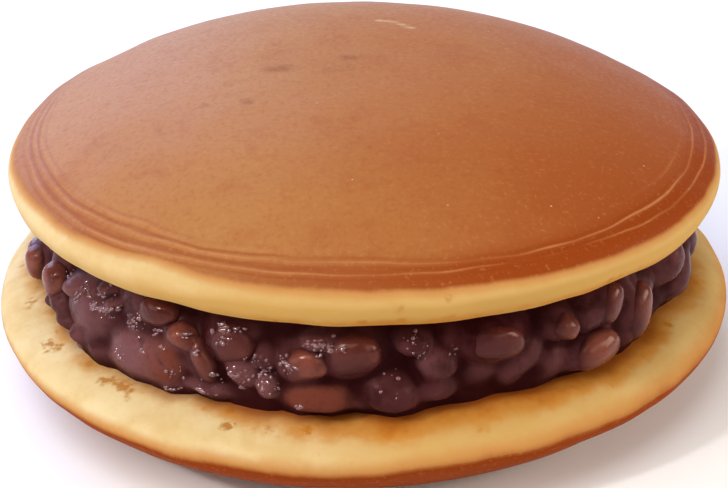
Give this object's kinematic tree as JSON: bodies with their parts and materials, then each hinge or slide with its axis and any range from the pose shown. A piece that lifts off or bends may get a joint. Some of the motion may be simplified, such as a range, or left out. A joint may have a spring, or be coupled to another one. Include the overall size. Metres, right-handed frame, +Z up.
{
  "type": "dorayaki",
  "caption": "Round sweet sandwich of soft browned pancakes with a thick layer of coarse red bean paste that shows all round the side.",
  "frame": {"origin": "middle of the footprint, on the surface the cake rests on", "axes": "+Z up through the crown of the upper pancake, -Y towards the front that the picture shows, +X to the right of that front"},
  "size_m": [0.0948, 0.094, 0.0391],
  "materials": {
    "pancake": "browned crust over a pale soft side",
    "bean_paste": "wet, dark and lumpy"
  },
  "bodies": {
    "root": {"upper_pancake": "pancake", "bean_paste": "bean_paste", "lower_pancake": "pancake"}
  },
  "joints": []
}
